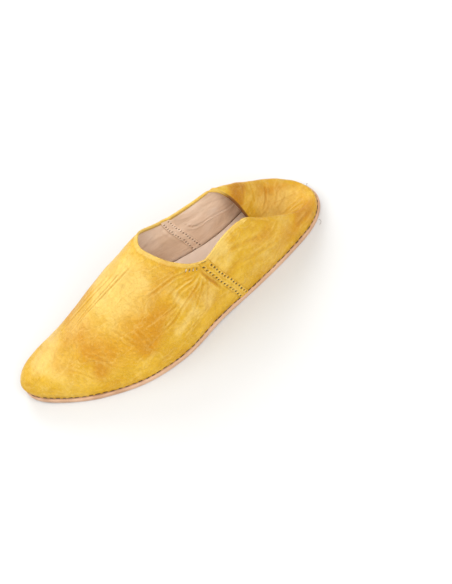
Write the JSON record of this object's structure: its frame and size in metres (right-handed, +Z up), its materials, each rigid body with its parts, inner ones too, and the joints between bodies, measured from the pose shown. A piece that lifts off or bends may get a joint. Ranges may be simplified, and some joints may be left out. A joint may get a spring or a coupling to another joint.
{
  "type": "babouche slipper",
  "caption": "Flat leather slipper with a long low vamp, a wide open throat, stitched side seams and a heel trodden down and folded in over the insole.",
  "frame": {"origin": "middle of the bounding box's bottom face, on the floor under the sole", "axes": "+Z up; +Y towards the heel and -Y towards the toe; +X towards the lateral side of this left shoe"},
  "size_m": [0.0876, 0.268, 0.0838],
  "materials": {
    "sole_leather": "natural vegetable-tanned leather, pinkish tan, smooth with growth lines",
    "insole_leather": "pale pinkish leather, matt",
    "upper_leather": "golden yellow goat leather, waxed and mottled"
  },
  "bodies": {
    "root": {"outsole": "sole_leather", "insole": "insole_leather", "upper": "upper_leather"}
  },
  "joints": []
}
